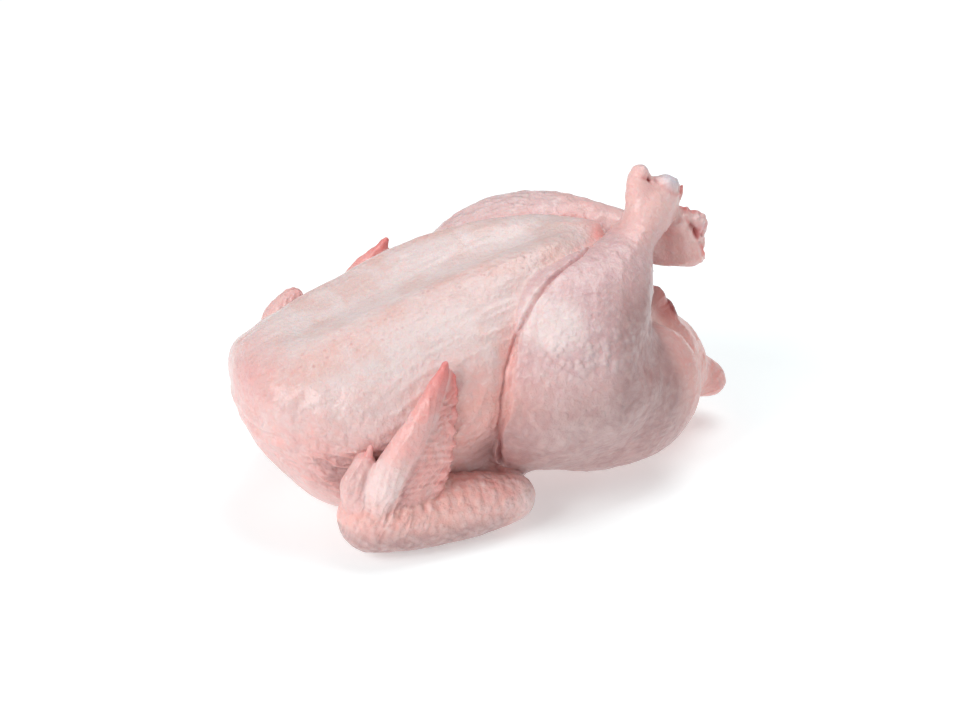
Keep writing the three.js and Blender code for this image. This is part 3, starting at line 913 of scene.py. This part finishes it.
def hockRelief(points, form):
    look = bodyLook
    lift = sum(height * form[name] for name, height in hockHeights.items())
    lift += look["hockLumps"] * form["ends"] * cellNoise(points, size=5, seed=34)
    lift += look["smallHockLumps"] * form["ends"] * cellNoise(points, size=2.4, seed=35)
    lift += look["collarLumps"] * form["collar"] * cellNoise(points, size=2.6, seed=24) * (points[:, 0] < 115)
    lift += look["rimHeight"] * form["rim"] * (1 + 0.8 * cellNoise(points, size=3, seed=25))
    lift -= look["cutDepth"] * form["cut"]
    lift += form["cut"] * (look["cutLumps"] * cellNoise(points, size=4.0, seed=26)
                           + look["smallCutLumps"] * cellNoise(points, size=1.9, seed=27))
    return lift


def skinRelief(points, rightLeg, leftLeg, legSide, crease, form):
    # Heights along the normal in millimetres: lumps, folds, the crease and its lips, valleys and hocks.
    look = bodyLook
    x, y, z = points.T
    at = {name: blob(points, *spot) for name, spot in reliefSpots.items()}
    onLegs = np.maximum(rightLeg, leftLeg)
    calm = 1 - 0.7 * form["ends"]
    lift = look["lumps"] * cellNoise(points, size=24, seed=1) * calm
    lift += look["smallLumps"] * cellNoise(points, size=9, seed=2) * calm
    lift += look["grain"] * cellNoise(points, size=4, seed=3)
    areas = {"shoulder": at["rightRoot"] + at["shoulderFolds"], "wingRoot": at["rightRoot"],
             "ripples": at["ripples"], "flanks": np.minimum(at["rightFlank"] + at["leftFlank"], 1),
             "breast": 1 - onLegs, "legs": onLegs * calm}
    lift += foldRelief(points, bodyFolds, areas)
    lift += look["leftShoulder"] * at["leftRoot"] * (ridges(points * (1, -1, 1), *leftShoulderRun) - 0.5)
    beads = at["thighBeads"] + 0.7 * rightLeg * fall(crease, start=14, over=8)
    lift += look["beads"] * np.minimum(beads, 1) * np.maximum(cellNoise(points, size=4.2, seed=23), 0)
    lift += (look["leftBeads"] * leftLeg * np.maximum(cellNoise(points, size=5.5, seed=33), 0)
             * rise(z, start=96, over=10) * calm)

    uneven = 1 + 0.35 * cellNoise(points, size=8, seed=9)
    plump = rise(crease, start=0, over=2.6) * bell(crease, width=9.0)
    lift += np.where(legSide, look["legLip"] * plump * uneven, -look["breastDip"] * bell(crease, width=7.5))
    depth = look["creaseDepth"] * (1 + 0.4 * cellNoise(points, size=7, seed=32))
    lift -= depth * bell(crease, look["creaseWidth"]) * rise(z, start=22, over=20)

    valley = distanceTo(points, betweenPoints(bodyLines["thighValley"]))
    lift -= look["thighValley"] * bell(valley, width=9) * rise(z, start=58, over=32)
    lift += look["thighSwell"] * at["thighSwell"]
    ruffle = bell(distanceTo(points, betweenPoints(bodyLines["legMembrane"])), width=3.2)
    lift += ruffle * (look["ruffle"] + look["ruffleWaves"] * cellNoise(points, size=2.4, seed=36))
    fold = distanceTo(points, betweenPoints(bodyLines["neckFold"]))
    lift += look["neckRoll"] * bell(fold - 5, width=3) - look["neckFold"] * bell(fold, width=2.0)
    along = (points - tendon["from"]) @ unit(np.array(tendon["along"]))
    lift += look["tendonRings"] * at["tendon"] * np.sin(along * tendon["turns"])
    clearOfBoard = rise(z, start=1, over=6)
    return (lift + hockRelief(points, form)) * clearOfBoard


toneSpots = {  # centre and reach of each patch of colour
    "rightRoot": ((-102, -54, 48), (34, 26, 30)), "leftRoot": ((-94, 58, 50), (34, 26, 30)),
    "rightFlank": ((-36, -74, 68), (28, 20, 26)), "leftFlank": ((-32, 74, 70), (28, 20, 26)),
    "nearHockEnd": ((92, -14, 148), (24, 16, 22)), "farHockEnd": ((118, -10, 114), (26, 20, 20)),
    "keelTip": ((68, -10, 130), (13, 14, 12)), "lobe": ((95, -50, 62), (24, 26, 30)),
    "thighGoose": ((26, -81, 97), (34, 18, 10)), "leftGoose": ((40, 60, 128), (50, 26, 18)),
    "besideDrumstick": ((2, -58, 118), (26, 14, 14)), "thighFat": ((6, -86, 54), (20, 20, 12)),
    # the pale patch on the drumstick is a painted highlight
    "drumstickHighlight": ((8, -69, 110), (15, 17, 14)), "breastFat": ((-34, -42, 110), (46, 18, 16)),
    "shoulderFat": ((-86, -30, 96), (26, 22, 12)), "pocket": ((-26, -66, 42), (12, 16, 14)),
    "pocketTop": ((-28, -68, 50), 12), "armpit": ((-104, -60, 38), (16, 16, 12)),
    "shoulderFolds": ((-106, -58, 40), (15, 18, 15)), "pocketCut": ((-18, -70, 41), (9, 12, 6)),
    "ventFlap": ((101, -12, 86), (12, 10, 13)), "behindThigh": ((56, -78, 78), (10, 14, 16)),
    "ventSide": ((104, -12, 76), (12, 12, 14)), "pitEdge": ((90, -20, 160), 4),
    "flapTop": ((102, -12, 84), (11, 9, 12)),
    "nearKnobs": ((86, -19, 157), (6, 7, 8)), "neckFlush": ((-135, -12, 84), (12, 16, 15)),
    "keelFlush": ((66, -8, 131), (12, 13, 10)), "crownGristle": ((87, -16, 165), (4, 5, 2.4)),
}
bodyTones = {  # share of each area in each mark
    "rosy": {"lobe": 0.6, "hocks": 0.6, "neckEnd": 0.35, "wingRoots": 0.6, "flanks": 0.95, "underside": 0.35,
             "stern": 0.9, "keelTip": 0.95, "creaseSides": 0.6, "legs": 0.25, "besideDrumstick": 0.3},
    "mauve": {"rightDrumstick": 0.6, "leftDrumstick": 0.25, "plainLegs": 0.3},
    "peach": {"flanks": 0.6, "hockEnds": 0.4, "tracts": 0.35, "stern": 0.4, "lobe": 0.25, "legBottom": 0.2},
    # the pale mark: fat patches, a painted highlight on the drumstick and painted highlights on the hocks
    "fat": {"thighFat": 0.85, "drumstickHighlight": 1.3, "hocks": 0.5, "breastFat": 0.55, "shoulderFat": 0.4,
            "creaseBeads": 0.5},
    # painted shade: the drumstick's rear, the lower leg and its underside, the pocket, the armpit and the
    # fold valleys
    "paintedShade": {"rearDrumstick": 1.5, "lowerLeg": 0.8, "shadedBottom": 0.4, "pocket": 0.6, "pocketTop": 0.55,
              "armpit": 0.5, "foldValleys": 1.1},
    # raw flesh in the vent and cuts, and a painted shadow line along the bottom of the crease
    "raw": {"inVent": 0.85, "creaseShadeLine": 0.22, "pocketCut": 0.15, "ventFlap": 0.5},
    "follicle": {"everywhere": 0.3, "tracts": 0.8, "legs": 0.1, "stern": 0.5},
    "bumps": {"everywhere": 0.1, "goose": 1, "tracts": 0.4, "legs": 0.15},
    "wrinkle": {"everywhere": 0.18, "tracts": 0.2, "wingRoots": 0.8, "flanks": 0.6, "neckEnd": 0.35,
                "stern": 0.35, "low": 0.3, "rear": 0.3, "behindThigh": 0.5},
    "tip": {"raggedCut": 0.85, "collar": 0.35, "ventSide": 0.45, "slash": 0.5, "pitRim": 0.35, "flapTop": 0.4,
            "nearKnobs": 0.22, "neckFlush": 0.3, "keelFlush": 0.15},
}


def bodyAreas(points, away, rightLeg, onLegs, crease, form):
    # How far each point lies in each named area, from 0 to 1.
    x, y, z = points.T
    area = {name: blob(points, *spot) for name, spot in toneSpots.items()}
    area["everywhere"] = np.ones(len(points))
    area["legs"] = onLegs
    area["neckEnd"] = fall(x, start=-104, over=34)
    area["low"] = fall(z, start=70, over=40)
    area["underside"] = area["low"] * (1 - onLegs)
    area["wingRoots"] = np.maximum(area["rightRoot"], area["leftRoot"])
    area["flanks"] = np.maximum(area["rightFlank"], area["leftFlank"])
    area["stern"] = rise(x, start=88, over=16) * fall(z, start=100, over=20)
    area["hockEnds"] = np.maximum(area["nearHockEnd"], area["farHockEnd"])
    area["tracts"] = (fall(np.abs(np.abs(y) - 33), start=14, over=14) * rise(z, start=85, over=15)
                      * fall(x, start=60, over=30) * (1 - onLegs))
    area["inVent"] = fall(away["vent"], start=2.5, over=2.5) * rise(x, start=84, over=4)
    area["lobe"] = soft(1.6 * area["lobe"])
    area["hocks"] = np.maximum(rise(z, start=120, over=22) * rise(x, start=60, over=14),
                               rise(x, start=100, over=14) * (z > 88))
    area["creaseSides"] = bell(crease, width=6) * (1 - 0.7 * rightLeg)
    # a painted shadow line along the bottom of the crease
    area["creaseShadeLine"] = (bell(crease, width=1.1) * rise(z, start=20, over=20)
                            * (1 + fall(z, start=96, over=30)))
    beads = soft(cellNoise(points, size=4.2, seed=31) + 0.2)
    area["creaseBeads"] = rightLeg * bell(crease - 3, width=3) * beads
    area["goose"] = np.maximum(area["thighGoose"], 0.7 * area["leftGoose"])
    mauveLegs = (1 - area["hocks"]) * (1 - 0.8 * area["lobe"])
    area["rightDrumstick"] = rightLeg * rise(z, start=60, over=40) * mauveLegs
    area["leftDrumstick"] = (onLegs - rightLeg) * rise(z, start=60, over=40) * mauveLegs
    area["plainLegs"] = onLegs * mauveLegs
    # painted shade on the drumstick's rear, on the lower leg and its underside, and in the shoulder folds'
    # valleys
    offLobe = 1 - 0.9 * area["lobe"]
    area["rear"] = rightLeg * rise(x, start=24, over=34)
    area["rearDrumstick"] = (area["rear"] * rise(z, start=40, over=40) * fall(z, start=126, over=24)
                             * offLobe)
    area["lowerLeg"] = rightLeg * fall(z, start=92, over=30) * offLobe
    area["legBottom"] = rightLeg * fall(z, start=62, over=30)
    area["shadedBottom"] = area["legBottom"] * offLobe
    _, run, spacing, seed = bodyFolds["shoulder"]
    valleys = fall(ridges(points, run, spacing, seed), start=0.5, over=0.3)
    area["foldValleys"] = area["shoulderFolds"] * valleys
    shreds = soft(0.5 + 1.2 * cellNoise(points, size=4, seed=29))
    area["raggedCut"] = form["cut"] * (1 - 0.6 * form["knob"]) * shreds
    area["pitRim"] = soft(2 * area["pitEdge"] - 0.6)
    area["collar"] = form["collar"]
    area["slash"] = form["slash"]
    return area


def bodyMarks(points, area, form):
    # How much of each tone lies at each point.
    marks = tonesFrom(bodyTones, area)
    for mark in ("follicle", "bumps"):
        marks[mark] = np.clip(marks[mark], 0, 1) * (1 - area["hocks"])
    marks["wrinkle"] = np.clip(marks["wrinkle"], 0, 1) * (1 - 0.7 * rise(points[:, 2], start=140, over=8))
    rawCut = 0.45 * form["cut"] * soft(cellNoise(points, size=3.5, seed=28))
    marks["raw"] = np.max([marks["raw"], form["slit"], soft(2.2 * form["pit"] - 0.5), rawCut], 0)
    capShows = 0.9 * np.minimum(1.3 * form["cap"], 1) * (1 - form["pit"])
    marks["gristle"] = np.max([capShows, 0.35 * form["knob"], 0.4 * area["crownGristle"]], 0)
    fatCut = 0.45 * form["cut"] * soft(0.2 + cellNoise(points, size=4.5, seed=38))
    marks["fat"] = np.max([marks["fat"], 0.6 * form["rim"], fatCut], 0)
    return marks


def dressBody():
    points, faces, edges, line = bodyMesh()
    away, ofGroup, _ = nearness(points)
    crease = distanceTo(points, line)
    nearLeg = np.minimum(ofGroup["rightLeg"], ofGroup["leftLeg"])
    legShare = rise(np.minimum(ofGroup["trunk"], ofGroup["stern"]) - nearLeg, start=-1.5, over=3)
    rightLeg, leftLeg = (legShare * fall(ofGroup[k], start=10, over=5) for k in ("rightLeg", "leftLeg"))
    form = hockForms(points)
    lift = skinRelief(points, rightLeg, leftLeg, nearLeg < ofGroup["trunk"], crease, form)
    points = points + normalsOf(points, faces) * lift[:, None]
    points = relax(points, edges, 0.2, 1)
    points[:, 2] = np.maximum(points[:, 2], 0)
    area = bodyAreas(points, away, rightLeg, np.maximum(rightLeg, leftLeg), crease, form)
    finishedPiece("bodySkin", points, faces, skin, bodyMarks(points, area, form))


dressBody()

# A shred of sinew at the near hock

spikeLook = {"path": [(103, -15, 141, 3.5, 5), (108, -15, 146, 2.6, 3), (111.5, -15, 151, 0.5, 0.5)],
             "rings": 24, "sides": 16, "wobble": 0.4, "rosy": 0.8, "tip": 0.2, "redder": 0.6}


def dressSpike():
    look = spikeLook
    spike = loftLimb({"path": look["path"], "up": across}, look["rings"], look["sides"])
    points, quads = meshArrays([spike])
    wobble = np.stack([cellNoise(points, size=2.2, seed=80 + k) for k in range(3)], 1)
    points = points + look["wobble"] * wobble
    marks = {"tip": look["tip"] + look["redder"] * rise(points[:, 2], start=144, over=8),
             "rosy": np.full(len(points), look["rosy"])}
    finishedPiece("hockSpike", points, quads, skin, marks)


dressSpike()

# Wings

wingLook = {
    "voxel": {"right": 0.62, "left": 0.8}, "evenRounds": 6, "blendRounds": 40,
    # heights in millimetres
    "lumps": 0.45, "grain": 0.16, "webWaves": 0.22, "rim": 1.3, "groove": 1.1, "rows": 0.55, "scallop": 0.7,
    # how often a wave repeats along a part
    "webTurns": 150, "rimTurns": 70, "rowTurns": 88, "scallopTurns": 80,
    "scallopRun": (0.86, 0, -0.5), "wristFromJoint": (8, 4, 9), "wristReach": (17, 16, 13),
    "clawFromThumb": (-1, 0, 2), "clawReach": 6,
}
wingFolds = {  # height, direction of the run, spacing in millimetres, seed
    "web": (0.9, (0.7, 0, 0.6), 2.2, 13), "bone": (0.6, (0.3, 0, 1), 3.2, 40),
    "thumb": (0.9, (0.35, 0, 1), 2.2, 14), "arm": (0.35, (0.8, 0, 0.5), 3.4, 16),
    "wrist": (1.9, (0.5, 0.1, 1), 2.8, 17),
}
wingTones = {  # share of each area in each mark
    "rosy": {"everywhere": 0.7, "web": 0.3, "wrist": 0.2, "armTop": 0.25},
    "mauve": {"groove": 0.45},
    "peach": {"arm": 0.4, "web": 0.1, "wrist": 0.2},
    # the pale mark: a little everywhere, a painted highlight on the bone's foot, painted light on the thumb
    # and on the forearm's end
    "fat": {"everywhere": 0.15, "boneFootHighlight": 0.6, "thumb": 0.35, "armEnd": 0.5},
    # painted shade in the groove and under the forearm
    "paintedShade": {"groove": 0.8, "armBelow": 1.0},
    "tip": {"tipEnd": 0.6, "boneTop": 0.2, "reddishEdge": 0.35, "clawEnd": 0.45},
    "raw": {"grooveCreases": 0.4},
    "follicle": {"everywhere": 0.3, "arm": 0.4},
    "bumps": {"everywhere": 0.3, "arm": 0.4},
    "wrinkle": {"everywhere": 0.3, "web": 0.5, "thumb": 0.6, "wrist": 0.6},
}
claw = {"right": [(-95, -66, 50, 3.4, 3.4), (-92, -67.5, 64, 0.9, 0.9)]}


def wingMesh(side):
    # The fused wing, rounded where its parts meet, and where each of its points lies on each part.
    look = wingLook
    parts = wings[side]
    grids = [loftLimb(limb) for limb in parts.values()]
    if side in claw:
        grids.append(loftLimb({"path": claw[side], "up": across}))
    points, faces = fuse(*meshArrays(grids), look["voxel"][side])
    faces = asTriangles(faces)
    points[:, 2] = np.maximum(points[:, 2], 0)
    edges = edgesOf(faces)
    points = relax(points, edges, 0.5, look["evenRounds"])
    placed = {name: limbPlace(points, limb) for name, limb in parts.items()}
    bone, web, thumb, arm = (placed[name][3] for name in ("bone", "web", "thumb", "forearm"))
    join = fall(bone, start=7.5, over=5) * fall(web, start=7.5, over=5)
    knee = fall(arm, start=9, over=6) * fall(np.minimum(bone, thumb), start=9, over=6)
    return relax(points, edges, 0.6 * np.maximum(join, knee), look["blendRounds"]), faces, edges, placed


def wingRelief(points, area, placed):
    # Heights along the normal: lumps, the web's waves, rim and groove, folds, the forearm's rows of bumps.
    look = wingLook
    webShare, webSide = placed["web"][:2]
    armShare, _, armRise, _ = placed["forearm"]
    lift = look["lumps"] * cellNoise(points, size=11, seed=11)
    lift += look["grain"] * cellNoise(points, size=4, seed=12)
    waves = np.sin(webShare * look["webTurns"] + webSide * 9 + 2 * cellNoise(points, size=7, seed=30))
    rim = bell(np.abs(webSide) - 0.84, width=0.14) * (1 + 0.5 * np.sin(webShare * look["rimTurns"]))
    groove = bell(webSide - 0.4, width=0.22)
    lift += area["web"] * (look["webWaves"] * waves + look["rim"] * rim - look["groove"] * groove)
    lift += foldRelief(points, wingFolds, area)
    rows = (rise(armRise, start=0.15, over=0.35) * rise(armShare, start=0.18, over=0.12)
            * fall(armShare, start=0.86, over=0.35))
    slant = np.sin(armShare * look["rowTurns"] + armRise * 2.4 + 1.5 * cellNoise(points, size=12, seed=15))
    lift += look["rows"] * area["arm"] * rows * slant * (0.55 + 0.45 * cellNoise(points, size=7, seed=18))
    clearOfBoard = rise(points[:, 2], start=1, over=5)
    return lift * clearOfBoard


def dressWing(side):
    look = wingLook
    parts = wings[side]
    points, faces, edges, placed = wingMesh(side)
    bone, web, thumb, arm = (placed[name][3] for name in ("bone", "web", "thumb", "forearm"))
    outwards = (1, -1, 1) if side == "right" else (1, 1, 1)
    wristAt = np.array(parts["bone"]["path"][0][:3]) + np.multiply(look["wristFromJoint"], outwards)
    area = {
        "everywhere": np.ones(len(points)),
        "web": fall(web, start=1.2, over=1.2) * rise(bone, start=0.5, over=3),
        "thumb": fall(thumb, start=1.2, over=1.2),
        "arm": fall(arm, start=1.5, over=1.5),
        "bone": fall(bone, start=1.5, over=1.5),
        "wrist": blob(points, wristAt, look["wristReach"]),
    }
    webShare, webSide = placed["web"][:2]
    edge = area["web"] * rise(np.abs(webSide), start=0.55, over=0.4)
    points = points + normalsOf(points, faces) * wingRelief(points, area, placed)[:, None]
    scallops = np.sin(webShare * look["scallopTurns"] + 2.5 * cellNoise(points, size=9, seed=19))
    points = points + (edge * look["scallop"] * scallops)[:, None] * look["scallopRun"]
    points = relax(points, edges, 0.2, 1)
    points[:, 2] = np.maximum(points[:, 2], 0)

    boneShare = placed["bone"][0]
    armShare, _, armRise, _ = placed["forearm"]
    area["groove"] = area["web"] * bell(webSide - 0.35, width=0.30)
    _, run, spacing, seed = wingFolds["web"]
    area["grooveCreases"] = area["groove"] * soft(ridges(points, run, spacing, seed) * 2 - 0.9)
    area["tipEnd"] = rise(boneShare, start=0.62, over=0.38) * np.maximum(area["bone"], area["web"])
    area["boneTop"] = area["bone"] * rise(boneShare, start=0.35, over=0.2)
    # painted highlight on the bone's foot
    area["boneFootHighlight"] = area["bone"] * bell(boneShare - 0.26, width=0.18)
    area["reddishEdge"] = edge * (1 - 0.5 * bell(boneShare - 0.1, width=0.2))
    clawAt = np.add(parts["thumb"]["path"][-1][:3], look["clawFromThumb"])
    area["clawEnd"] = blob(points, clawAt, look["clawReach"])
    area["armTop"] = area["arm"] * rise(armRise, start=0.3, over=0.3)
    # painted light on the forearm's end
    area["armEnd"] = area["arm"] * rise(armShare, start=0.8, over=0.15)
    # painted shade under the forearm, less towards its end
    awayFromEnd = 1 - 0.9 * rise(armShare, start=0.72, over=0.2)
    area["armBelow"] = area["arm"] * fall(armRise, start=0.3, over=0.8) * awayFromEnd
    finishedPiece(side + "Wing", points, faces, skin, tonesFrom(wingTones, area))


dressWing("right")
dressWing("left")
